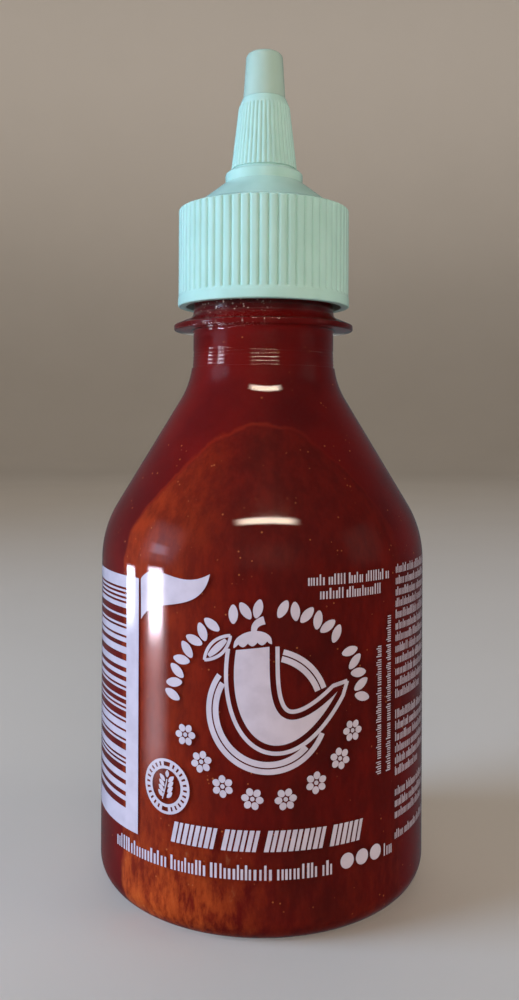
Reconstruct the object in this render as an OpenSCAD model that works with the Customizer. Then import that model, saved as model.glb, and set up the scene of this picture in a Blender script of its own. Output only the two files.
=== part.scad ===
// Squeeze bottle of chili sauce: a clear blown bottle, the sauce that fills it,
// and a screw cap with a ribbed pouring spout under a small closed tip.
// Millimetres, +Z up, origin at the middle of the foot. Round about the Z axis.

/* [Bottle body] */
// Outside diameter of the straight wall
body_d = 58.7; // [50:0.1:72]
// Height at which the straight wall would meet the shoulder's cone
body_h = 62.5; // [40:0.5:90]
// Radius of the rounded edge between wall and foot
foot_corner = 4.8; // [3:0.1:7]
// Width of the flat ring that the bottle stands on
foot_w = 2; // [1.5:0.1:4]
// Height of the shallow dome in the middle of the foot
push_up = 3; // [1:0.1:5]
// Thickness of the blown wall
wall = 0.5; // [0.4:0.05:1]
// Lean of the shoulder's cone from upright, degrees
shoulder_a = 31; // [25:1:36]
// Radius that rounds the straight wall into the shoulder
shoulder_r = 19; // [10:0.5:24]

/* [Neck] */
// Outside diameter of the neck just above the shoulder
neck_d = 26.2; // [22:0.1:32]
// Radius that rounds the shoulder into the neck
neck_r = 15; // [8:0.5:18]
// How far the moulded neck steps in above the blown wall
neck_step = 0.15; // [0.05:0.05:0.3]
// Height of the neck from the shoulder's cone to the support ring
neck_h = 9; // [7:0.1:12]
// Thickness of the moulded neck up to the mouth
neck_wall = 2.1; // [1.5:0.1:3]
// Height from the support ring's underside to the mouth
finish_h = 21; // [16:0.1:26]
// How far the support ring stands out from the neck
ring_w = 3.55; // [2.5:0.05:4.5]
// Thickness of the support ring's edge
ring_t = 1; // [0.8:0.1:1.5]
// Rise of the support ring's sloping upper side
ring_rise = 1.5; // [1:0.1:2]

/* [Sauce] */
// Free height left between the sauce and the mouth
headspace = 6; // [3:0.5:12]

/* [Cap] */
// Room for the screw thread between neck and skirt
thread_room = 1.3; // [1:0.1:2]
// Thickness of the skirt under its ribs
cap_wall = 1.2; // [1:0.05:1.6]
// Height of the skirt's rim above the support ring's underside
cap_lift = 4.4; // [3:0.1:6]
// Thickness of the cap above the mouth, at the edge of its deck
cap_top = 1.1; // [0.8:0.1:4]
// Height of the plain band under the ribs
band_h = 2; // [1:0.1:4]
// Number of ribs round the skirt
skirt_ribs = 60; // [40:1:72]
// Depth of the grooves between the skirt's ribs
skirt_groove = 0.35; // [0.2:0.05:0.5]
// Radius of the edge between skirt and deck
cap_corner = 0.6; // [0.3:0.1:1.5]
// Rise of the sloping deck
deck_rise = 1; // [0.5:0.1:2.5]
// Width of the sloping deck
deck_w = 3.2; // [2.5:0.1:5]
// Height of the cone between deck and collar
cone_h = 4; // [1.5:0.1:5]
// How far the collar stands out past the spout's foot
collar_w = 1.05; // [0.7:0.05:2]
// Height of the collar
collar_h = 2.3; // [1.5:0.1:4]
// Chamfer round the collar's upper edge
collar_chamfer = 0.5; // [0.2:0.05:0.8]

/* [Spout] */
// Height of the ribbed cone
spout_h = 11.9; // [8:0.1:16]
// How much the ribbed cone widens on each side, down to its foot
spout_flare = 1.35; // [0.5:0.05:2]
// Height of the narrow seam under the ribs
seam_h = 0.5; // [0.3:0.05:0.8]
// Depth of that seam
seam_in = 0.3; // [0.1:0.05:0.4]
// Number of ribs round the spout
spout_ribs = 40; // [24:1:44]
// Depth of the grooves between the spout's ribs
spout_groove = 0.2; // [0.1:0.05:0.25]
// Height of the smooth shoulder above the ribs
spout_shoulder_h = 1.8; // [1:0.1:3]
// Width of that shoulder
spout_shoulder_w = 0.75; // [0.3:0.05:1.5]
// How far the spout's flat end stands out past the tip
tip_step = 0.1; // [0:0.05:0.4]

/* [Tip] */
// Diameter of the tip at its foot
tip_foot_d = 7.8; // [6:0.1:10]
// How much the tip narrows on each side, up to its end
tip_taper = 0.55; // [0:0.05:1]
// Height of the tip
tip_h = 8.5; // [5:0.1:12]
// Radius of the tip's rounded upper edge
tip_round = 1.1; // [0.5:0.1:2]

/* [Hidden] */
$fn = 96;
arc_steps = 10;   // straight stretches in a rounded edge of the outlines
over = 1;         // how far a groove's cutter reaches past what it cuts
proud = 0.1;      // how far a groove's axis lies outside the ribs' tops, as a share of its radius
thick_h = 1;      // height under the support ring over which the mouth's bore runs on

body_r = body_d / 2;
foot_r = body_r - foot_corner;
dome_r = foot_r - foot_w;
neck_low_r = neck_d / 2;
neck_top_r = neck_low_r - neck_step;
mouth_r = neck_top_r - neck_wall;
ring_r = neck_top_r + ring_w;
cap_bore_r = neck_top_r + thread_room;
cap_r = cap_bore_r + cap_wall + skirt_groove;
cone_r = cap_r - deck_w;
tip_foot_r = tip_foot_d / 2;
tip_top_r = tip_foot_r - tip_taper;
spout_end_r = tip_foot_r + tip_step;
spout_top_r = spout_end_r + spout_shoulder_w;
spout_foot_r = spout_top_r + spout_flare;
collar_r = spout_foot_r + collar_w;

// Heights above the foot
neck_z = body_h + (body_r - neck_low_r) / tan(shoulder_a);
step_z = neck_z + neck_r * tan(shoulder_a / 2);
ring_z = neck_z + neck_h;
mouth_z = ring_z + finish_h;
sauce_z = mouth_z - headspace;
rim_z = ring_z + cap_lift;
deck_z = mouth_z + cap_top;
cone_z = deck_z + deck_rise;
collar_z = cone_z + cone_h;
spout_z = collar_z + collar_h;
shoulder_z = spout_z + spout_h;
tip_z = shoulder_z + spout_shoulder_h;
end_z = tip_z + tip_h;

// Points on an arc of radius r round the centre c, from angle a0 to a1
function arc(c, r, a0, a1) = [
    for (i = [0 : arc_steps])
        let (a = a0 + (a1 - a0) * i / arc_steps)
        c + r * [cos(a), sin(a)]
];

// The foot's dome, raised by t, from the axis out to its edge
function dome(t) =
    let (r = (dome_r ^ 2 + push_up ^ 2) / (2 * push_up), half = asin(dome_r / r))
    arc([0, push_up - r + t], r, 90, 90 - half);

// The blown wall set in by t: foot, straight wall, shoulder and the neck's lower end.
// Both rounded stretches keep their centres, so the wall is equally thick all the way.
function blown_wall(t) = concat(
    dome(t),
    arc([foot_r, foot_corner], foot_corner - t, -90, 0),
    arc([body_r - shoulder_r, body_h - shoulder_r * tan(shoulder_a / 2)], shoulder_r - t, 0, shoulder_a),
    arc([neck_low_r + neck_r, step_z], neck_r + t, 180 + shoulder_a, 180)
);

// The inside of the bottle, from the foot to a height in the mouth's bore
function inside(top) = concat(
    blown_wall(wall),
    [[mouth_r, ring_z - thick_h], [mouth_r, top]]
);

function reversed(points) = [for (i = [len(points) - 1 : -1 : 0]) points[i]];

// The moulded neck outside: step, support ring and the plain finish up to the mouth
function moulded_neck() = [
    [neck_top_r, step_z],
    [neck_top_r, ring_z],
    [ring_r, ring_z],
    [ring_r, ring_z + ring_t],
    [neck_top_r, ring_z + ring_t + ring_rise],
    [neck_top_r, mouth_z],
];

// Round grooves cut lengthwise into a cone, leaving ribs between them. The cone's
// radius goes from r0 at the height z0 to r1 at the height z1.
module grooves(count, depth, r0, z0, r1, z1) {
    cutter_r = depth / (1 - proud);
    lean = atan((r0 - r1) / (z1 - z0));
    for (i = [0 : count - 1])
        rotate(i * 360 / count)
            translate([r0 + proud * cutter_r, 0, z0])
                rotate([0, -lean, 0])
                    cylinder(r = cutter_r, h = (z1 - z0) / cos(lean));
}

// Clear blown bottle with its moulded neck
module bottle() {
    color([0.80, 0.86, 0.86, 0.4])
        rotate_extrude()
            polygon(concat(blown_wall(0), moulded_neck(), reversed(inside(mouth_z))));
}

// Sauce, which fills the bottle to just under the mouth
module sauce() {
    color([0.42, 0.06, 0.03])
        rotate_extrude()
            polygon(concat(inside(sauce_z), [[0, sauce_z]]));
}

// Screw cap: a ribbed skirt, a sloping deck and the collar that carries the spout
module cap() {
    deck_a = atan(deck_rise / deck_w);
    corner_z = deck_z - cap_corner * tan((90 - deck_a) / 2);
    color([0.62, 0.83, 0.78])
        difference() {
            rotate_extrude()
                polygon(concat(
                    [[0, mouth_z], [cap_bore_r, mouth_z], [cap_bore_r, rim_z], [cap_r, rim_z]],
                    arc([cap_r - cap_corner, corner_z], cap_corner, 0, 90 - deck_a),
                    [
                        [cone_r, cone_z],
                        [collar_r, collar_z],
                        [collar_r, spout_z - collar_chamfer],
                        [collar_r - collar_chamfer, spout_z],
                        [0, spout_z],
                    ]
                ));
            grooves(skirt_ribs, skirt_groove, cap_r, rim_z + band_h, cap_r, deck_z + over);
        }
}

// Ribbed spout, which stands on the cap's collar
module spout() {
    ribs_z = spout_z + seam_h;
    color([0.58, 0.80, 0.74])
        difference() {
            rotate_extrude()
                polygon([
                    [0, spout_z],
                    [spout_foot_r - seam_in, spout_z],
                    [spout_foot_r - seam_in, ribs_z],
                    [spout_foot_r, ribs_z],
                    [spout_top_r, shoulder_z],
                    [spout_end_r, tip_z],
                    [0, tip_z],
                ]);
            grooves(spout_ribs, spout_groove, spout_foot_r, ribs_z, spout_top_r, shoulder_z);
        }
}

// Smooth closed tip on the end of the spout
module tip() {
    lean = atan(tip_taper / tip_h);
    flat_r = tip_top_r - tip_round * tan((90 - lean) / 2);
    color([0.55, 0.72, 0.64])
        rotate_extrude()
            polygon(concat(
                [[0, tip_z], [tip_foot_r, tip_z]],
                arc([flat_r, end_z - tip_round], tip_round, lean, 90),
                [[0, end_z]]
            ));
}

bottle();
sauce();
cap();
spout();
tip();
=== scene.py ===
"""Looks of a squeeze bottle of chili sauce: clear blown bottle, sauce, mint green cap and spout, white print.

Every shape is a surface worked out on a grid, in metres, in the CAD model's own frame: +Z up along the
bottle's axis, and -Y the front. Angles round the axis are counted from the front, positive towards +X.
"""

import math

import bpy
import numpy as np
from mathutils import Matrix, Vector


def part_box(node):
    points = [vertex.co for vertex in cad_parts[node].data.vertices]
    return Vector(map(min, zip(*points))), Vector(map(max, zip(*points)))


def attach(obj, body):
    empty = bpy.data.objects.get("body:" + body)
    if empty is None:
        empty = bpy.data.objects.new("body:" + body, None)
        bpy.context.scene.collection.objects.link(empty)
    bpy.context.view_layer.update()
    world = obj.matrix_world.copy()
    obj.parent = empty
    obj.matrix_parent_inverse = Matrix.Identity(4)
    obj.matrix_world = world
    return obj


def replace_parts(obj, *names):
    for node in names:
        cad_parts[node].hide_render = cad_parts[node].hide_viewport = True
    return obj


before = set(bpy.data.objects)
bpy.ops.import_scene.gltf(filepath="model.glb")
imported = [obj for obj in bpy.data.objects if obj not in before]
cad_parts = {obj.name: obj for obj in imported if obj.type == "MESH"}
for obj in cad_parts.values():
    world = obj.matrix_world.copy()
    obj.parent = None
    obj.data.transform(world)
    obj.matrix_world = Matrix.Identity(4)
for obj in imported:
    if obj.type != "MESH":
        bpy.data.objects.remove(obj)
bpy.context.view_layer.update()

MM = 0.001
TAU = 2 * math.pi

# ---------------------------------------------------------------- sizes

# The blown bottle and its moulded neck, as they are built
FOOT_CORNER = 4.8 * MM
FOOT_W = 2 * MM
PUSH_UP = 3 * MM
WALL = 0.5 * MM
SHOULDER_A = math.radians(31)
SHOULDER_R = 19 * MM
NECK_R = 15 * MM
NECK_LOW_R = 13.1 * MM
NECK_TOP_R = 12.95 * MM
NECK_WALL = 2.1 * MM
NECK_H = 9 * MM
FINISH_H = 21 * MM
RING_W = 3.55 * MM
RING_T = 1 * MM
RING_RISE = 1.5 * MM
HEADSPACE = 6 * MM

# The closure
BAND_H = 2 * MM
CAP_WALL = 1.2 * MM
CAP_CORNER = 0.6 * MM
CAP_TOP = 1.1 * MM
DECK_RISE = 1 * MM
DECK_W = 3.2 * MM
CONE_H = 4 * MM
COLLAR_W = 1.05 * MM
COLLAR_CHAMFER = 0.5 * MM
SKIRT_RIBS = 60
SKIRT_GROOVE = 0.35 * MM
SPOUT_RIBS = 40
SPOUT_GROOVE = 0.2 * MM
BEAD = 0.1 * MM         # how far the band stands out past the ribs
SEAM_H = 0.5 * MM
SEAM_IN = 0.3 * MM
SPOUT_SHOULDER_H = 1.8 * MM
TIP_TAPER = 0.55 * MM
TIP_ROUND = 1.1 * MM

# What only the looks have
FINE_RINGS = 5
FINE_RING_PITCH = 0.64 * MM
FINE_RING_DEPTH = 0.11 * MM
RINGS_BELOW = 2 * MM    # how far the fine rings start below the moulded neck
INK = 0.02 * MM         # thickness of the print, which lies on the wall
INTO_WALL = 0.06 * MM   # how far the sauce reaches into the clear wall

body_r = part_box("bottle")[1].x
mouth_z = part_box("bottle")[1].z
rim_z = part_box("cap")[0].z
spout_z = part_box("cap")[1].z
cap_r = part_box("cap")[1].x
tip_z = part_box("tip")[0].z
end_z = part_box("tip")[1].z
tip_foot_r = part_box("tip")[1].x
spout_foot_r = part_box("spout")[1].x

foot_r = body_r - FOOT_CORNER
dome_r = foot_r - FOOT_W
ring_z = mouth_z - FINISH_H
neck_z = ring_z - NECK_H
step_z = neck_z + NECK_R * math.tan(SHOULDER_A / 2)
body_h = neck_z - (body_r - NECK_LOW_R) / math.tan(SHOULDER_A)
mouth_r = NECK_TOP_R - NECK_WALL
ring_r = NECK_TOP_R + RING_W
deck_z = mouth_z + CAP_TOP
cone_z = deck_z + DECK_RISE
collar_z = cone_z + CONE_H


# ---------------------------------------------------------------- outlines and surfaces

def arc(centre, radius, start, end, steps):
    """Points (r, z) on a circle of that radius round centre, from one angle in degrees to another."""
    a = np.radians(np.linspace(start, end, steps + 1))
    return np.stack([centre[0] + radius * np.cos(a), centre[1] + radius * np.sin(a)], 1)


def line(*corners, step=1 * MM):
    """Straight stretches from corner to corner, with a point at least every step."""
    corners = np.array(corners, float)
    parts = [corners[:1]]
    for a, b in zip(corners[:-1], corners[1:]):
        n = max(1, math.ceil(np.linalg.norm(b - a) / step))
        parts.append(a + (b - a) * (np.arange(1, n + 1) / n)[:, None])
    return np.concatenate(parts)


def joined(*parts):
    """Stretches of an outline one after another, with no point twice."""
    points = np.concatenate(parts)
    keep = np.r_[True, np.linalg.norm(np.diff(points, axis=0), axis=1) > 1e-7]
    return points[keep]


def rounded(corners, radii, steps=6):
    """An outline through the corners, each inner one cut off by a circle that touches both its sides."""
    p = np.array(corners, float)
    out = [p[:1]]
    for before, at, after, r in zip(p[:-2], p[1:-1], p[2:], radii):
        if r == 0:
            out.append(at[None])
            continue
        u = (before - at) / np.linalg.norm(before - at)
        v = (after - at) / np.linalg.norm(after - at)
        half = math.acos(np.clip(u @ v, -1, 1)) / 2
        middle = at + (u + v) / np.linalg.norm(u + v) * r / math.sin(half)
        a = at + u * r / math.tan(half) - middle
        b = at + v * r / math.tan(half) - middle
        turn = math.atan2(a[0] * b[1] - a[1] * b[0], a @ b)
        t = np.linspace(0, turn, steps + 1)[:, None]
        out.append(middle + np.cos(t) * a + np.sin(t) * np.array([-a[1], a[0]]))
    out.append(p[-1:])
    return np.concatenate(out)


def make_mesh(name, points, faces, crease=40):
    """A mesh object of points and faces, smooth but for edges sharper than crease degrees."""
    mesh = bpy.data.meshes.new(name)
    mesh.from_pydata(points.tolist(), [], faces)
    mesh.polygons.foreach_set("use_smooth", np.ones(len(mesh.polygons), bool))
    mesh.set_sharp_from_angle(angle=math.radians(crease))
    mesh.update()
    piece = bpy.data.objects.new(name, mesh)
    bpy.context.scene.collection.objects.link(piece)
    return piece


def revolve(name, outline, around, relief=None, crease=40):
    """The outline carried round the axis. The point at step i and angle a lies at height z[i] and at radius
    r[i] - relief(r, z, a). An end on the axis becomes a pole, and an outline with no such end closes on
    itself."""
    r, z = outline[:, 0], outline[:, 1]
    a = np.arange(around) * TAU / around
    start, end = r[0] < 1e-7, r[-1] < 1e-7
    rows = slice(1 if start else 0, len(r) - 1 if end else len(r))
    rr, zz = r[rows, None] + 0 * a, z[rows, None] + 0 * a
    if relief is not None:
        rr = rr - relief(rr, zz, a[None] + 0 * rr)
    grid = np.stack([rr * np.sin(a), -rr * np.cos(a), zz], -1)
    n = grid.shape[0]
    points = [grid.reshape(-1, 3)]
    i = np.arange(n if not (start or end) else n - 1)[:, None]
    j = np.arange(around)[None]
    k, up = (j + 1) % around, (i + 1) % n
    quads = np.stack([i * around + j, i * around + k, up * around + k, up * around + j], -1).reshape(-1, 4)
    faces = quads.tolist()
    count = n * around
    for on_axis, row, height in ((start, 0, z[0]), (end, n - 1, z[-1])):
        if on_axis:
            points.append(np.array([[0, 0, height]]))
            edge = row * around + np.arange(around)
            after = row * around + (np.arange(around) + 1) % around
            pair = (after, edge) if row == 0 else (edge, after)
            faces += np.stack([*pair, np.full(around, count)], 1).tolist()
            count += 1
    return make_mesh(name, np.concatenate(points), faces, crease)


def reeds(count, depth, sharp=2.6):
    """Depth below the ribs' tops at an angle: ribs that are flat on top and meet in narrow valleys,
    depth times (distance from the rib's middle over half its width) to the power sharp."""
    def below(a):
        part = (a * count / TAU + 0.5) % 1 - 0.5
        return depth * np.abs(2 * part) ** sharp
    return below


def fade(x, low, high):
    """0 below low, 1 above high, and a smooth S between."""
    t = np.clip((x - low) / (high - low), 0, 1)
    return t * t * (3 - 2 * t)


# ---------------------------------------------------------------- the bottle and what it holds

def blown_wall(inset, fine=1):
    """The wall's outline set in by inset, from the axis at the foot to the neck's lower end. The push-up
    moves up by inset and the other rounded stretches keep their centres, so the wall stays even."""
    dome = (dome_r ** 2 + PUSH_UP ** 2) / (2 * PUSH_UP)
    half = math.degrees(math.asin(dome_r / dome))
    lean = math.degrees(SHOULDER_A)
    drop = SHOULDER_R * math.tan(SHOULDER_A / 2)
    straight_low = (body_r - inset, FOOT_CORNER)
    straight_high = (body_r - inset, body_h - drop)
    low = arc((body_r - SHOULDER_R, body_h - drop), SHOULDER_R - inset, 0, lean, 14 * fine)
    high = arc((NECK_LOW_R + NECK_R, step_z), NECK_R + inset, 180 + lean, 180, 14 * fine)
    points = joined(
        arc((0, PUSH_UP - dome + inset), dome, 90, 90 - half, 10 * fine),
        arc((foot_r, FOOT_CORNER), FOOT_CORNER - inset, -90, 0, 10 * fine),
        line(straight_low, straight_high, step=2 * MM),
        low,
        line(low[-1], high[0], step=1.5 * MM),
        high,
    )
    points[0, 0] = 0
    return points


def bottle_outside():
    """The whole outside: blown wall, the finely ringed start of the moulded neck, the support ring with its
    rounded edge, and the plain neck up to the mouth."""
    rings_z = step_z - RINGS_BELOW
    wall = blown_wall(INK, fine=2)
    wall = wall[wall[:, 1] < rings_z]
    ringed = line((NECK_LOW_R, rings_z + 0.05 * MM), (NECK_TOP_R, step_z + 1.2 * MM), step=0.08 * MM)
    neck = rounded(
        [
            (NECK_TOP_R, step_z + 1.25 * MM),
            (NECK_TOP_R, ring_z),
            (ring_r, ring_z),
            (ring_r, ring_z + RING_T),
            (NECK_TOP_R, ring_z + RING_T + RING_RISE),
            (NECK_TOP_R, mouth_z),
            (mouth_r, mouth_z),
        ],
        [0.5 * MM, 0.35 * MM, 0.35 * MM, 1.2 * MM, 0.3 * MM],
    )
    return joined(wall, ringed, neck)


def bottle_inside():
    """The cavity's outline from the mouth down to the axis at the foot."""
    wall = blown_wall(WALL)
    return joined(line((mouth_r, mouth_z), (mouth_r, ring_z - 1 * MM), step=3 * MM), wall[::-1])


def bottle_relief(r, z, a):
    """Fine rings that the mould leaves round the neck: shallow rounded grooves side by side, FINE_RING_DEPTH
    times 4 t (1 - t) deep, where t goes from 0 to 1 across each, with sharp edges between them."""
    part = (z - step_z + RINGS_BELOW) / FINE_RING_PITCH
    inside = (part > 0) & (part < FINE_RINGS) & (r > mouth_r + 1 * MM)
    t = part - np.floor(part)
    return np.where(inside, FINE_RING_DEPTH * 4 * t * (1 - t), 0)


def make_bottle():
    """Clear shell: the outside and the inside as one closed surface."""
    outline = joined(bottle_outside(), bottle_inside())
    outline[-1, 0] = 0
    return revolve("bottle_shell", outline, 256, bottle_relief)


def make_sauce():
    """The sauce fills the cavity up to HEADSPACE below the mouth, and reaches just into the wall."""
    top = mouth_z - HEADSPACE
    wall = blown_wall(WALL - INTO_WALL, fine=2)
    neck_r = mouth_r + INTO_WALL
    outline = joined(
        wall,
        line(wall[-1], (neck_r, ring_z - 1 * MM), (neck_r, top), step=1 * MM),
        line((neck_r, top), (0, top), step=3 * MM),
    )
    outline[-1, 0] = 0
    return revolve("sauce_fill", outline, 192)


# ---------------------------------------------------------------- the closure

def make_cap():
    """Skirt, deck, cone and collar in one piece, with its bore. The ribs stop at a plain band below and run
    out above where the rounded edge falls back behind the bottom of their grooves."""
    bore_r = cap_r - SKIRT_GROOVE - CAP_WALL
    collar_r = spout_foot_r + COLLAR_W
    outline = rounded(
        [
            (0, mouth_z),
            (bore_r, mouth_z),
            (bore_r, rim_z),
            (cap_r, rim_z),
            (cap_r, deck_z),
            (cap_r - DECK_W, cone_z),
            (collar_r + 0.25 * MM, collar_z),
            (collar_r, collar_z + 0.15 * MM),
            (collar_r, spout_z - COLLAR_CHAMFER),
            (collar_r - COLLAR_CHAMFER, spout_z),
            (0, spout_z),
        ],
        [0.5 * MM, 0.2 * MM, 0.3 * MM, CAP_CORNER, 1.5 * MM, 0.1 * MM, 0.1 * MM, 0.25 * MM, 0.25 * MM],
        steps=8,
    )
    outline = line(*outline, step=1.2 * MM)
    # finer rows where the ribs run out into the band
    band_z = rim_z + BAND_H
    low, high = band_z - 0.7 * MM, band_z + 0.6 * MM
    on_skirt = outline[:, 0] > cap_r - 0.001 * MM
    start, end = np.argmax(on_skirt & (outline[:, 1] > low)), np.argmax(on_skirt & (outline[:, 1] > high))
    outline = joined(outline[:start], line((cap_r, low), (cap_r, high), step=0.13 * MM), outline[end:])
    below = reeds(SKIRT_RIBS, SKIRT_GROOVE, sharp=4.0)

    def relief(r, z, a):
        groove = cap_r - BEAD * fade(z, band_z - 0.55 * MM, band_z)
        groove -= below(a) * fade(z, band_z, band_z + 0.4 * MM)
        outside = r > bore_r + 0.5 * MM
        return np.where(outside, r - np.minimum(r, groove), 0)

    return revolve("cap_shell", outline, SKIRT_RIBS * 10, relief, crease=50)


def make_spout():
    """Ribbed cone with a narrow seam at its foot and a smooth rounded shoulder above its ribs."""
    end_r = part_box("tip")[1].x + 0.1 * MM
    top_r = end_r + 0.75 * MM
    ribs_z = spout_z + SEAM_H
    shoulder_z = tip_z - SPOUT_SHOULDER_H
    outline = rounded(
        [
            (0, spout_z),
            (spout_foot_r - SEAM_IN, spout_z),
            (spout_foot_r - SEAM_IN, ribs_z),
            (spout_foot_r, ribs_z),
            (top_r, shoulder_z),
            (end_r, tip_z),
            (0, tip_z),
        ],
        [0, 0.1 * MM, 0.12 * MM, 1.6 * MM, 0.25 * MM],
        steps=8,
    )
    outline = line(*outline, step=0.5 * MM)
    below = reeds(SPOUT_RIBS, SPOUT_GROOVE, sharp=2.2)

    def relief(r, z, a):
        along = np.interp(z, [ribs_z, shoulder_z], [spout_foot_r, top_r])
        groove = along - below(a)
        return np.where((z > ribs_z) & (r > end_r), r - np.minimum(r, groove), 0)

    return revolve("spout_cone", outline, SPOUT_RIBS * 10, relief, crease=50)


def make_tip():
    """Smooth closed tip, a little narrower at its rounded end."""
    outline = rounded(
        [(0, tip_z), (tip_foot_r, tip_z), (tip_foot_r - TIP_TAPER, end_z - 0.02 * MM), (0, end_z)],
        [0.12 * MM, TIP_ROUND],
        steps=12,
    )
    return revolve("spout_tip", line(*outline, step=0.5 * MM), 128)


# ---------------------------------------------------------------- the print

wall_line = blown_wall(0, fine=2)


def wrap(u, v):
    """Lays the flat artwork on the wall: u is the distance round the straight wall from the front, and v
    the height. The angle is u over the wall's radius, and the radius is the wall's own at that height."""
    r = np.interp(v, wall_line[12:, 1], wall_line[12:, 0])
    a = u / body_r
    return np.stack([r * np.sin(a), -r * np.cos(a), v], -1)


class Artwork:
    """Patches of print. Each is a grid of (u, v) points in millimetres on the flat artwork."""

    def __init__(self):
        self.patches = []

    def patch(self, u, v):
        """Adds a grid, turned over if it faces inwards."""
        du, dv = np.diff(u, axis=1)[:-1], np.diff(v, axis=1)[:-1]
        eu, ev = np.diff(u, axis=0)[:, :-1], np.diff(v, axis=0)[:, :-1]
        if (du * ev - dv * eu).sum() < 0:
            u, v = u[:, ::-1], v[:, ::-1]
        self.patches.append((u * MM, v * MM))

    def bar(self, u0, u1, v0, v1, slant=0.0):
        """A bar from u0 to u1 and from v0 to v1, whose top is pushed sideways by slant times its height."""
        n = max(1, math.ceil(abs(u1 - u0) / 1.5))
        u = np.linspace(u0, u1, n + 1)[None] + np.array([0, slant * (v1 - v0)])[:, None]
        self.patch(u, np.array([v0, v1])[:, None] + 0 * u)

    def stroke(self, u, v, half, across=4):
        """A stroke along the path (u, v), as wide on each side of it as half says at each point."""
        du, dv = np.gradient(u), np.gradient(v)
        size = np.hypot(du, dv)
        side = np.linspace(-1, 1, across + 1)[:, None] * half
        self.patch(u - dv / size * side, v + du / size * side)

    def ring(self, cu, cv, inner, outer, start=0.0, end=360.0, steps=72):
        """Part of a ring round (cu, cv), from one angle in degrees to another, anticlockwise from +u."""
        a = np.radians(np.linspace(start, end, steps + 1))[None]
        r = np.linspace(inner, outer, max(2, math.ceil((outer - inner) / 1.2)) + 1)[:, None]
        self.patch(cu + r * np.cos(a), cv + r * np.sin(a))

    def leaf(self, cu, cv, length, width, turn, blunt=0.8):
        """An almond shape: half its width times sin(pi t) to the power blunt, along a straight line."""
        t = np.linspace(0.02, 0.98, 13)
        c, s = math.cos(math.radians(turn)), math.sin(math.radians(turn))
        along = (t - 0.5) * length
        self.stroke(cu + along * c, cv + along * s, width / 2 * np.sin(math.pi * t) ** blunt, across=2)

    def greek(self, u0, u1, v, height, rng, upright=True):
        """A row of upright ticks in the rhythm of small print, from u0 to u1 with its foot at v: words of 3
        to 9 pairs of ticks, each tick either low or tall. Where upright is false, the row runs up the
        bottle."""
        at = u0
        while at < u1 - height * 0.5:
            for _ in range(int(rng.integers(3, 10)) * 2):
                wide = height * rng.uniform(0.13, 0.19)
                if at + wide > u1:
                    break
                tall = height * (1.0 if rng.random() < 0.3 else 0.72)
                if upright:
                    self.bar(at, at + wide, v, v + tall)
                else:
                    self.bar(v - tall, v, at, at + wide)
                at += wide + height * rng.uniform(0.1, 0.2)
            at += height * 0.22

    def make(self, name, material):
        """One mesh of all the patches, laid on the wall."""
        points, faces, count = [], [], 0
        for u, v in self.patches:
            n, m = u.shape
            points.append(wrap(u, v).reshape(-1, 3))
            i, j = np.arange(n - 1)[:, None] * m, np.arange(m - 1)[None]
            quads = np.stack([i + j, i + j + 1, i + m + j + 1, i + m + j], -1).reshape(-1, 4)
            faces += (quads + count).tolist()
            count += n * m
        piece = make_mesh(name, np.concatenate(points), faces)
        return finish_piece(piece, material)


# ---------------------------------------------------------------- materials

FLAKES = 900.0         # cells of flakes in a metre of the sauce
BUBBLES = 1500.0       # cells of bubbles in a metre


def colour(hex_code, alpha=1.0):
    """An sRGB hex colour as linear light."""
    c = np.array([int(hex_code[i:i + 2], 16) for i in (1, 3, 5)]) / 255
    c = np.where(c <= 0.04045, c / 12.92, ((c + 0.055) / 1.055) ** 2.4)
    return (*c, alpha)


def add(tree, kind, settings=None, inputs=None):
    """Adds a node. Settings are its own properties, and inputs, by name or number, are values or sockets."""
    node = tree.nodes.new(kind)
    for key, value in (settings or {}).items():
        setattr(node, key, value)
    for key, value in (inputs or {}).items():
        if isinstance(value, bpy.types.NodeSocket):
            tree.links.new(value, node.inputs[key])
        else:
            node.inputs[key].default_value = value
    return node


def new_material(name):
    """An empty material, its node tree and its output."""
    material = bpy.data.materials.new(name)
    material.use_nodes = True
    tree = material.node_tree
    tree.nodes.clear()
    return material, tree, add(tree, "ShaderNodeOutputMaterial")


def mix(tree, factor, a, b):
    """The colour socket that goes from a to b with factor."""
    node = add(tree, "ShaderNodeMix", {"data_type": "RGBA"}, {0: factor, 6: a, 7: b})
    return node.outputs[2]


def math_node(tree, operation, a, b=0.0):
    """The value socket of one sum."""
    return add(tree, "ShaderNodeMath", {"operation": operation}, {0: a, 1: b}).outputs[0]


def spread(tree, value, low, high, to_low=0.0, to_high=1.0):
    """The value socket that goes smoothly from to_low to to_high as value goes from low to high."""
    return add(
        tree, "ShaderNodeMapRange", {"interpolation_type": "SMOOTHSTEP"},
        {"Value": value, "From Min": low, "From Max": high, "To Min": to_low, "To Max": to_high},
    ).outputs[0]


def noise(tree, where, size, detail=3.0, stretch=(1, 1, 1), rough=0.5):
    """The value socket of a cloudy pattern whose patches are about size metres, longer along an axis where
    stretch is more than 1."""
    scale = tuple(1 / (size * s) for s in stretch)
    place = add(tree, "ShaderNodeMapping", {"vector_type": "POINT"}, {"Vector": where, "Scale": scale})
    return add(
        tree, "ShaderNodeTexNoise", {},
        {"Vector": place.outputs[0], "Scale": 1.0, "Detail": detail, "Roughness": rough},
    ).outputs["Fac"]


def place_socket(tree):
    """The piece's own coordinates, in metres."""
    return add(tree, "ShaderNodeTexCoord").outputs["Object"]


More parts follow.
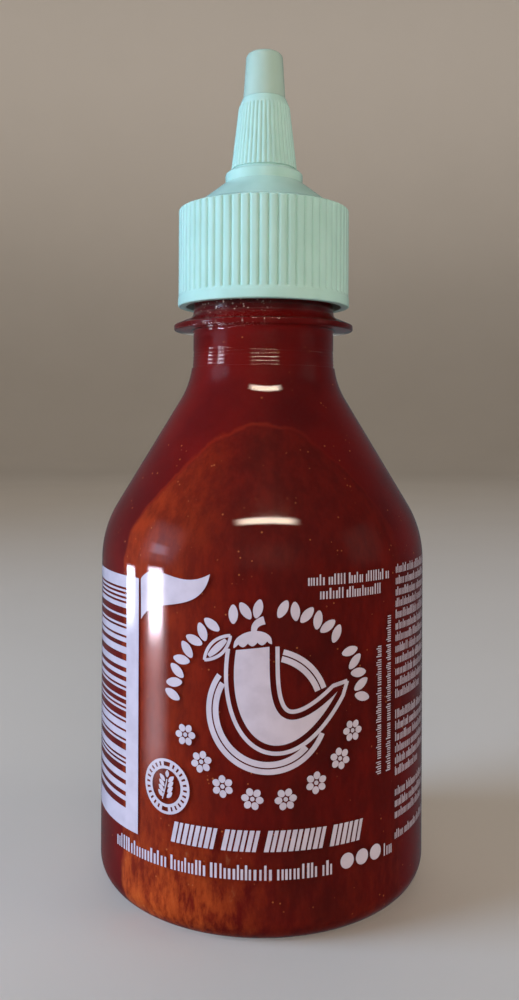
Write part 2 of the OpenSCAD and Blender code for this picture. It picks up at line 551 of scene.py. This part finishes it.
def blown_pet():
    """PET, stretch-blown: clear as glass and glossy, with the faint waves of a blown wall. Lamps shine
    through it on to the sauce."""
    material, tree, out = new_material("pet_stretch_blown")
    where = place_socket(tree)
    waves = noise(tree, where, 9 * MM, detail=1.0, stretch=(1, 1, 1.6))
    bump = add(tree, "ShaderNodeBump", {}, {"Height": waves, "Strength": 0.12, "Distance": 0.3 * MM})
    clear = add(
        tree, "ShaderNodeBsdfPrincipled", {},
        {
            "Base Color": colour("#FBFDFC"),
            "Roughness": 0.06,
            "IOR": 1.575,
            "Transmission Weight": 1.0,
            "Normal": bump.outputs[0],
        },
    )
    through = add(tree, "ShaderNodeBsdfTransparent", {}, {"Color": colour("#F4F6F5")})
    ray = add(tree, "ShaderNodeLightPath")
    both = add(
        tree, "ShaderNodeMixShader", {},
        {0: ray.outputs["Is Shadow Ray"], 1: clear.outputs[0], 2: through.outputs[0]},
    )
    tree.links.new(both.outputs[0], out.inputs["Surface"])
    return material


def chili_sauce():
    """Ground red chili sauce against a clear wall. Behind the front wall lies a pocket of air, so only a thin
    film of sauce clings there: it is browner, streaked and flaked, and it ends in a fine orange line.
    On the left, at the shoulder and at the foot, the film is painted lighter and more orange: painted light
    of the window on the left, which shines through it."""
    material, tree, out = new_material("chili_sauce_ground")
    where = place_socket(tree)
    axis = add(tree, "ShaderNodeSeparateXYZ", {}, {0: where})
    cloud = noise(tree, where, 14 * MM, detail=4.0)
    full = mix(tree, spread(tree, cloud, 0.35, 0.65), colour("#540606"), colour("#660906"))
    # the pocket ends in a flat plane that stands square to Y, a little ragged
    ragged = math_node(tree, "SUBTRACT", noise(tree, where, 5 * MM), 0.5)
    ragged = math_node(tree, "MULTIPLY", ragged, 2.0 * MM)
    depth = math_node(tree, "SUBTRACT", ragged, axis.outputs["Y"])
    film = spread(tree, depth, 17.2 * MM, 18.0 * MM)
    streaks = noise(tree, where, 2.0 * MM, detail=7.0, stretch=(1, 1, 2.6), rough=0.68)
    blotch = noise(tree, where, 11 * MM, detail=5.0, stretch=(1, 1, 1.6), rough=0.6)
    thin = mix(tree, spread(tree, streaks, 0.32, 0.72), colour("#570905"), colour("#6A1006"))
    thin = mix(tree, spread(tree, blotch, 0.44, 0.70, 0.0, 0.6), thin, colour("#430A05"))
    # painted light: the film is painted most orange at the left of the shoulder and at the left of the foot,
    # where the window on the left shines through it
    left = spread(tree, axis.outputs["X"], -21 * MM, -2 * MM, 0.95, 0.0)
    left = math_node(tree, "MULTIPLY", left, spread(tree, axis.outputs["Z"], 40 * MM, 66 * MM, 0.7, 1.0))
    foot = spread(tree, axis.outputs["Z"], 5 * MM, 20 * MM, 1.0, 0.0)
    foot = math_node(tree, "MULTIPLY", foot, spread(tree, axis.outputs["X"], -18 * MM, 4 * MM, 1.0, 0.08))
    uneven = spread(tree, streaks, 0.34, 0.66, 0.4, 1.0)
    thin = mix(tree, math_node(tree, "MULTIPLY", left, uneven), thin, colour("#96310F"))
    # streaky patches of the painted light that shines through the film at the foot
    lit_film_patches = spread(tree, blotch, 0.64, 0.38, 0.35, 1.0)
    lit_film_patches = math_node(tree, "MULTIPLY", spread(tree, streaks, 0.35, 0.66), lit_film_patches)
    thin = mix(tree, math_node(tree, "MULTIPLY", foot, lit_film_patches), thin, colour("#B4501E"))
    # pale flecks within that painted light at the foot
    pale = math_node(tree, "MULTIPLY", foot, spread(tree, streaks, 0.62, 0.74, 0.0, 0.8))
    thin = mix(tree, pale, thin, colour("#B58A58"))
    body = mix(tree, film, full, thin)
    # the fine line where the film ends, over the shoulder and fainter towards +X
    off = math_node(tree, "ABSOLUTE", math_node(tree, "SUBTRACT", depth, 17.4 * MM))
    rim = spread(tree, off, 0, 0.4 * MM, 0.5, 0.0)
    rim = math_node(tree, "MULTIPLY", rim, spread(tree, axis.outputs["Z"], 60 * MM, 68 * MM))
    rim = math_node(tree, "MULTIPLY", rim, spread(tree, axis.outputs["X"], -2 * MM, 10 * MM, 1.0, 0.25))
    body = mix(tree, rim, body, colour("#8A220D"))
    # a few lighter flakes of chili
    flakes = add(tree, "ShaderNodeTexVoronoi", {}, {"Vector": where, "Scale": FLAKES, "Randomness": 1.0})
    speck = spread(tree, flakes.outputs["Distance"], 0.10, 0.17, 1.0, 0.0)
    rare = spread(tree, noise(tree, where, 3 * MM, detail=2.0), 0.56, 0.64)
    body = mix(tree, math_node(tree, "MULTIPLY", speck, rare), body, colour("#A35A30"))
    # fine bubbles on the left, just under the cap, as pale specks: painted highlights of the bubbles
    froth = add(tree, "ShaderNodeTexVoronoi", {}, {"Vector": where, "Scale": BUBBLES, "Randomness": 1.0})
    bubble_glint = spread(tree, froth.outputs["Distance"], 0.16, 0.26, 1.0, 0.0)
    band = spread(tree, axis.outputs["Z"], rim_z - 4.2 * MM, rim_z - 2.2 * MM)
    band = math_node(tree, "MULTIPLY", band, spread(tree, axis.outputs["X"], -3 * MM, 3 * MM, 1.0, 0.0))
    band = math_node(tree, "MULTIPLY", band, spread(tree, noise(tree, where, 1.5 * MM), 0.38, 0.52))
    body = mix(tree, math_node(tree, "MULTIPLY", bubble_glint, band), body, colour("#FFE0CC"))
    bump = add(tree, "ShaderNodeBump", {}, {"Height": streaks, "Strength": 0.4, "Distance": 0.2 * MM})
    paste = add(
        tree, "ShaderNodeBsdfPrincipled", {},
        {
            "Base Color": body,
            "Roughness": 0.55,
            "IOR": 1.38,
            "Specular IOR Level": 0.1,
            "Normal": bump.outputs[0],
        },
    )
    tree.links.new(paste.outputs[0], out.inputs["Surface"])
    return material


def moulded_polypropylene(name, body, deep):
    """Polypropylene, injection-moulded and dyed: waxy, a little see-into, satin, with faint flow marks."""
    material, tree, out = new_material(name)
    where = place_socket(tree)
    flow = noise(tree, where, 7 * MM, detail=3.0, stretch=(1, 1, 2))
    skin = noise(tree, where, 0.35 * MM, detail=2.0)
    shade = mix(tree, spread(tree, flow, 0.35, 0.7), colour(body), colour(deep))
    bump = add(tree, "ShaderNodeBump", {}, {"Height": skin, "Strength": 0.12, "Distance": 0.05 * MM})
    plastic = add(
        tree, "ShaderNodeBsdfPrincipled", {},
        {
            "Base Color": shade,
            "Roughness": 0.24,
            "IOR": 1.49,
            "Subsurface Weight": 0.25,
            "Subsurface Radius": (0.7, 1.0, 0.9),
            "Subsurface Scale": 1.2 * MM,
            "Normal": bump.outputs[0],
        },
    )
    tree.links.new(plastic.outputs[0], out.inputs["Surface"])
    return material


def screen_ink():
    """White ink, screen-printed: smooth, glossy and covering, with a faint unevenness of its tone."""
    material, tree, out = new_material("white_ink_screen_printed")
    where = place_socket(tree)
    thin = spread(tree, noise(tree, where, 2.5 * MM, detail=3.0), 0.3, 0.75)
    ink = add(
        tree, "ShaderNodeBsdfPrincipled", {},
        {"Base Color": mix(tree, thin, colour("#C8BDCA"), colour("#BDB2BF")), "Roughness": 0.11, "IOR": 1.5},
    )
    tree.links.new(ink.outputs[0], out.inputs["Surface"])
    return material


def stage_paper():
    """Matt studio paper, pale warm grey and faintly uneven, as if lit from behind: it glows the more the
    higher it stands."""
    material, tree, out = new_material("paper_matt")
    where = place_socket(tree)
    height = add(tree, "ShaderNodeSeparateXYZ", {}, {0: where}).outputs["Z"]
    cloud = noise(tree, where, 120 * MM, detail=3.0)
    paper = add(
        tree, "ShaderNodeBsdfPrincipled", {},
        {
            "Base Color": mix(tree, cloud, colour("#D6D1C9"), colour("#DDD8D1")),
            "Roughness": 0.9,
            "Emission Color": colour("#FFF0E0"),
            "Emission Strength": spread(tree, height, 0.0, 0.9, 0.0, 0.22),
        },
    )
    tree.links.new(paper.outputs[0], out.inputs["Surface"])
    return material


def finish_piece(piece, material):
    """Gives the piece its material and its slot, and lets it ride on the bottle."""
    piece.data.materials.clear()
    piece.data.materials.append(material)
    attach(piece, "root")
    return piece


# ---------------------------------------------------------------- camera, stage and light

EYE_D = 176.5 * MM         # from the bottle's axis to the lens
EYE_Z = 82.2 * MM          # height of the lens
LENS = 34.225              # in mm
SENSOR = 36                # in mm, the longer side of the frame
SHIFT = (-0.0035, -0.080)  # of the view sideways and up, in longer sides
ROLL = -0.25               # in degrees
NEAR = 0.01                # anything closer to the lens is cut off

MIDDLE = (0, 0, 0.075)     # of the bottle, where the lamps look


def make_camera():
    """Level with the bottle's shoulder, straight in front."""
    data = bpy.data.cameras.new("camera")
    data.sensor_width = SENSOR
    data.lens = LENS
    data.shift_x, data.shift_y = SHIFT
    data.clip_start = NEAR
    camera = bpy.data.objects.new("camera", data)
    camera.location = (0, -EYE_D, EYE_Z)
    camera.rotation_euler = (math.radians(90), math.radians(ROLL), 0)
    bpy.context.scene.collection.objects.link(camera)
    bpy.context.scene.camera = camera


def make_stage(material):
    """Round floor that sweeps up into a wall all round: flat, then a quarter circle, then upright. It doesn't
    show in the gloss of the bottle, which mirrors only the panels and the dim room."""
    flat, bend, high = 1.3, 0.5, 1.7
    outline = joined(
        line((0, 0), (flat, 0), step=0.1),
        arc((flat, bend), bend, -90, 0, 16),
        line((flat + bend, bend), (flat + bend, high), step=0.6),
    )
    piece = revolve("stage", outline, 96)
    piece.data.flip_normals()
    piece.data.materials.append(material)
    piece.visible_glossy = False


def stand(piece, azimuth, elevation, distance, centre):
    """Stands a lamp or a panel so that it looks at centre, and hides it from the camera. Azimuth 0 is in
    front and 90 towards +X."""
    a, e = math.radians(azimuth), math.radians(elevation)
    out = np.array([math.sin(a) * math.cos(e), -math.cos(a) * math.cos(e), math.sin(e)])
    piece.location = tuple(out * distance + np.array(centre))
    piece.rotation_euler = (math.radians(90) - e, 0, a)
    piece.visible_camera = False


def lamp(name, azimuth, elevation, distance, size, power, tint, cone=180):
    """A soft lamp that lights without a reflection of its own, within a cone of so many degrees."""
    data = bpy.data.lights.new(name, "AREA")
    data.shape = "RECTANGLE"
    data.size, data.size_y = size
    data.energy = power
    data.spread = math.radians(cone)
    data.color = colour(tint)[:3]
    piece = bpy.data.objects.new(name, data)
    stand(piece, azimuth, elevation, distance, MIDDLE)
    piece.visible_glossy = False
    bpy.context.scene.collection.objects.link(piece)


def glow(name, azimuth, elevation, distance, size, strength, tint, centre, edge=0.35, foot=1.0):
    """A panel with soft edges that is only mirrored, and that other panels show through. Its brightness rises
    smoothly from 0 at the border to 1 at edge of the half width inside, and on its height at half of that
    way at most. It also rises from foot at the lower end to 1 near the top."""
    mesh = bpy.data.meshes.new(name)
    x, y = size[0] / 2, size[1] / 2
    mesh.from_pydata([(-x, -y, 0), (x, -y, 0), (x, y, 0), (-x, y, 0)], [], [(0, 1, 2, 3)])
    mesh.uv_layers.new(name="across").data.foreach_set("uv", (0, 0, 1, 0, 1, 1, 0, 1))
    material, tree, out = new_material(name)
    where = add(tree, "ShaderNodeSeparateXYZ", {}, {0: add(tree, "ShaderNodeTexCoord").outputs["UV"]})
    level = spread(tree, where.outputs["Y"], 0.45, 0.85, foot, 1.0)
    for axis, soft in (("X", edge), ("Y", min(edge, 0.5))):
        off = math_node(tree, "ABSOLUTE", math_node(tree, "SUBTRACT", where.outputs[axis], 0.5))
        level = math_node(tree, "MULTIPLY", level, spread(tree, off, 0.5 - 0.5 * soft, 0.5, 1.0, 0.0))
    light = add(
        tree, "ShaderNodeEmission", {},
        {"Color": colour(tint), "Strength": math_node(tree, "MULTIPLY", level, strength)},
    )
    through = add(tree, "ShaderNodeBsdfTransparent")
    both = add(tree, "ShaderNodeAddShader", {}, {0: light.outputs[0], 1: through.outputs[0]})
    tree.links.new(both.outputs[0], out.inputs["Surface"])
    mesh.materials.append(material)
    piece = bpy.data.objects.new(name, mesh)
    stand(piece, azimuth, elevation, distance, centre)
    piece.visible_diffuse = False
    piece.visible_transmission = False
    piece.visible_shadow = False
    bpy.context.scene.collection.objects.link(piece)


def make_light():
    """A soft window on the left, a weak lamp on the right, a soft fill from the front, a soft lamp above and
    behind, and a dim room that is a little brighter behind. The panels give the reflections: a long lamp
    high in front, the window, and its bright low part, in two panes and a strip beside the bottle."""
    lamp("window", -76, 15, 1.1, (0.6, 0.6), 2.35, "#BFDCFF", cone=60)
    lamp("fill", 4, 14, 1.1, (0.9, 0.5), 0.92, "#FFEFDF", cone=60)
    lamp("right", 76, 15, 1.1, (0.6, 0.6), 0.38, "#FFF4EC", cone=60)
    lamp("ceiling", 180, 50, 1.3, (1.2, 0.9), 2.4, "#FFF4E8")
    right, left, strip = (-0.017, -0.024, 0.053), (-0.021, -0.020, 0.051), (-0.017, -0.024, 0.042)
    glow("front_panel", 4, 50, 1.0, (0.80, 0.15), 20, "#FFE9D2", MIDDLE, edge=0.5)
    glow("window_panel", -76, 10, 0.9, (0.34, 0.15), 2, "#CFE2FF", MIDDLE, edge=0.8)
    glow("pane_right", -78, -8, 0.2, (0.060, 0.054), 28, "#F2ECFF", right, edge=0.6)
    glow("pane_left", -103, -8, 0.2, (0.040, 0.038), 20, "#E6EDFF", left, edge=0.5)
    glow("strip", -78, -16, 0.056, (0.030, 0.050), 9, "#F4E6F0", strip, edge=0.95, foot=0.3)
    world = bpy.data.worlds.new("room")
    world.use_nodes = True
    tree = world.node_tree
    background = tree.nodes["Background"]
    background.inputs["Color"].default_value = colour("#C4C8D0")
    way = add(tree, "ShaderNodeSeparateXYZ", {}, {0: add(tree, "ShaderNodeTexCoord").outputs["Generated"]})
    tree.links.new(spread(tree, way.outputs["Y"], 0.1, 1.0, 0.05, 0.17), background.inputs["Strength"])
    bpy.context.scene.world = world


# ---------------------------------------------------------------- the artwork

# Middles on the flat artwork, in millimetres
EMBLEM = np.array((1.05, 37.1))
BADGE = np.array((-16.0, 23.8))
FLOWERS = (
    (-12.4, 32.6), (-9.6, 28.7), (-6.1, 25.2), (-1.4, 23.5),
    (3.8, 23.4), (8.7, 25.6), (12.8, 28.9), (15.1, 33.0),
)


def bezier(points, n=33):
    """n points on the smooth curve that four or more handles pull into shape."""
    t = np.linspace(0, 1, n)[:, None]
    p = np.array(points, float)
    k = len(p) - 1
    return sum(math.comb(k, i) * (1 - t) ** (k - i) * t ** i * p[i] for i in range(k + 1)).T


def beside(u, v, away):
    """The path moved sideways by away, to its left where away is positive."""
    du, dv = np.gradient(u), np.gradient(v)
    size = np.hypot(du, dv)
    return u - dv / size * away, v + du / size * away


def ink_emblem(material):
    """A chili pepper with its leaf, across a broken double ring."""
    art = Artwork()
    cu, cv = EMBLEM
    for inner, outer, start, end in ((9.0, 9.85, 145, 336), (7.85, 8.78, 150, 316)):
        art.ring(cu, cv, inner, outer, start, end, 96)
        art.ring(cu, cv, inner, outer, 20, 76, 32)
    # the pepper lies between its outer and its inner edge, and a line runs along each of them
    tip = (cu + 11.2, cv + 2.4)
    outer = bezier([(cu - 5.1, cv + 9.4), (cu - 7.2, cv - 3.5), (cu + 1.5, cv - 12.5), tip], 49)
    inner = bezier([(cu + 0.1, cv + 10.0), (cu + 0.2, cv + 3.6), (cu - 0.6, cv - 7.2), tip], 49)
    share = np.linspace(0, 1, 7)[:, None]
    art.patch(outer[0] + (inner[0] - outer[0]) * share, outer[1] + (inner[1] - outer[1]) * share)
    for edge, away in ((outer, -1.25), (inner, 1.25)):
        u, v = beside(*edge, away)
        art.stroke(np.append(u, cu + 13.0), np.append(v, cv + 3.9), 0.32)
    # the crown with its scalloped edge, and the stem
    s = np.linspace(-1, 1, 49)
    low = cv + 10.2 + 0.35 * s - 0.5 * np.abs(np.cos(2 * math.pi * s))
    top = cv + 10.4 + 0.35 * s + 2.0 * np.sqrt(np.clip(1 - s ** 2, 0, 1))
    art.patch(np.stack([cu - 2.5 + 3.0 * s] * 2), np.stack([low + 0.35, top]))
    stem = [(cu - 2.3, cv + 12.2), (cu - 2.4, cv + 13.2), (cu - 1.9, cv + 13.8), (cu - 0.7, cv + 14.1)]
    art.stroke(*bezier(stem, 13), np.linspace(0.42, 0.65, 13))
    # a leaf on its left, drawn as an outline with a middle rib
    t = np.linspace(0, 1, 25)
    root, point = np.array((cu - 6.0, cv + 11.6)), np.array((cu - 10.2, cv + 7.6))
    u, v = root[:, None] + (point - root)[:, None] * t
    bulge = 1.1 * np.sin(math.pi * t) ** 0.8
    for side in (-1, 1):
        art.stroke(*beside(u, v, side * bulge), 0.25)
    art.stroke(u[4:21], v[4:21], 0.55 * np.sin(math.pi * t[4:21]))
    art.make("print_emblem", material)


def ink_garland(material):
    """An arch of small leaves over the emblem, in four groups, and eight flowers under it."""
    art = Artwork()
    cu, cv = EMBLEM
    slot = 176 / 24.6
    at = 178 - slot / 2
    for group, count in enumerate((8, 3, 6, 5)):
        for i in range(count):
            a = math.radians(at)
            tilt = 20 if i % 2 else -20
            art.leaf(cu + 15.95 * math.cos(a), cv + 15.95 * math.sin(a), 3.1, 1.5, at + tilt, 0.6)
            at -= slot
        at -= slot * 0.95
    for k, (u, v) in enumerate(FLOWERS):
        for i in range(6):
            turn = i * 60 + k * 17
            a = math.radians(turn)
            art.leaf(u + 1.15 * math.cos(a), v + 1.15 * math.sin(a), 1.25, 1.1, turn, 0.5)
        art.ring(u, v, 0.0, 0.36, steps=12)
    art.make("print_garland", material)


def ink_badge(material):
    """A round badge with a sprig in it."""
    art = Artwork()
    u, v = BADGE
    art.ring(u, v, 3.95, 4.4)
    for k in range(26):
        if k not in (6, 19):
            art.ring(u, v, 3.25, 3.97, k * 360 / 26, (k + 0.62) * 360 / 26, 3)
    art.ring(u, v, 2.8, 3.27)
    sprig = [(u - 0.7, v - 2.1), (u - 0.2, v - 0.6), (u + 0.1, v + 0.6), (u + 0.2, v + 1.2)]
    art.stroke(*bezier(sprig, 9), 0.1)
    for k in range(4):
        for side in (-1, 1):
            art.leaf(u + side * 0.85 - 0.15 + 0.1 * k, v - 1.25 + 0.85 * k, 1.5, 0.72, 90 - side * 46)
    art.leaf(u + 0.25, v + 2.05, 1.2, 0.7, 88)
    art.make("print_badge", material)


def ink_flag(material):
    """A waving flag, left plain."""
    art = Artwork()
    top_u, top_v = bezier([(-21.7, 56.3), (-18, 60.4), (-14, 54.8), (-8.3, 58.1)], 25)
    low_u, low_v = bezier([(-21.6, 49.7), (-18.5, 54.6), (-9.8, 50.8), (-8.3, 58.0)], 25)
    share = np.linspace(0, 1, 7)[:, None]
    art.patch(low_u + (top_u - low_u) * share, low_v + (top_v - low_v) * share)
    art.make("print_flag", material)


def ink_bars(material):
    """A white panel with bare bars across it, as on any pack, at seeded random widths."""
    art = Artwork()
    rng = np.random.default_rng(7)
    left, low, high, right, top, foot = -45.4, -42.0, -25.6, -22.2, 56.3, 14.5
    art.bar(left, low, foot, top)
    art.bar(high, right, foot, top)
    v, module = 17.8, 0.38
    art.bar(low, high, foot, v)
    while v < 53.4:
        v += module * int(rng.choice([1, 1, 2, 3]))
        after = v + module * int(rng.choice([1, 1, 2, 3]))
        art.bar(low, high, v, min(after, 53.9))
        v = after
    art.bar(low, high, v, top)
    art.make("print_bars", material)


def ink_lines(material):
    """Rows of short ticks where a pack carries its small print, larger slanted blocks and three dots."""
    art = Artwork()
    rng = np.random.default_rng(11)
    # two short rows at the top right
    art.greek(7.2, 23.4, 56.4, 1.7, rng)
    art.greek(9.2, 21.4, 54.2, 1.7, rng)
    # two columns that run up the bottle
    art.greek(24.9, 46.0, 21.2, 1.15, rng, upright=False)
    art.greek(24.9, 50.4, 23.6, 1.15, rng, upright=False)
    # the large block of rows on the right
    v = 57.0
    for rows in (12, 6, 3, 1):
        for i in range(rows):
            end = 44.0 if i < rows - 1 or rows == 1 else 36.0
            art.greek(25.0, end + rng.uniform(-1.5, 1.5), v, 1.45, rng)
            v -= 1.88
        v -= 1.5
    # the slanted row of bold blocks
    u = -15.0
    for count in (4, 3, 5, 3):
        for i in range(count):
            art.bar(u, u + 0.75, 15.3, 18.6, 0.22)
            art.bar(u + 1.02, u + 1.62, 15.3, 18.6, 0.22)
            u += 1.93
        u += 0.95
    # the row at the foot, with three dots at its end
    art.greek(-28.4, 12.0, 10.9, 2.3, rng)
    for u in (14.2, 17.1, 20.0):
        art.ring(u, 12.5, 0.0, 1.25, steps=24)
    art.greek(22.0, 24.4, 11.2, 2.0, rng)
    art.make("print_lines", material)


def build_print(material):
    """The six pieces of print, all in one ink."""
    for ink in (ink_emblem, ink_garland, ink_badge, ink_flag, ink_bars, ink_lines):
        ink(material)


def main():
    scene = bpy.context.scene
    scene.view_settings.view_transform = "Standard"
    make_camera()
    make_stage(stage_paper())
    make_light()

    pet, sauce = blown_pet(), chili_sauce()
    mint = moulded_polypropylene("polypropylene_mint", "#B5DBD1", "#ABD3C8")
    mint_tip = moulded_polypropylene("polypropylene_mint_dark", "#B1CBBE", "#A5C0B3")
    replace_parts(finish_piece(make_bottle(), pet), "bottle")
    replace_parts(finish_piece(make_sauce(), sauce), "sauce")
    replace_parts(finish_piece(make_cap(), mint), "cap")
    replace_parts(finish_piece(make_spout(), mint), "spout")
    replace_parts(finish_piece(make_tip(), mint_tip), "tip")
    build_print(screen_ink())


main()
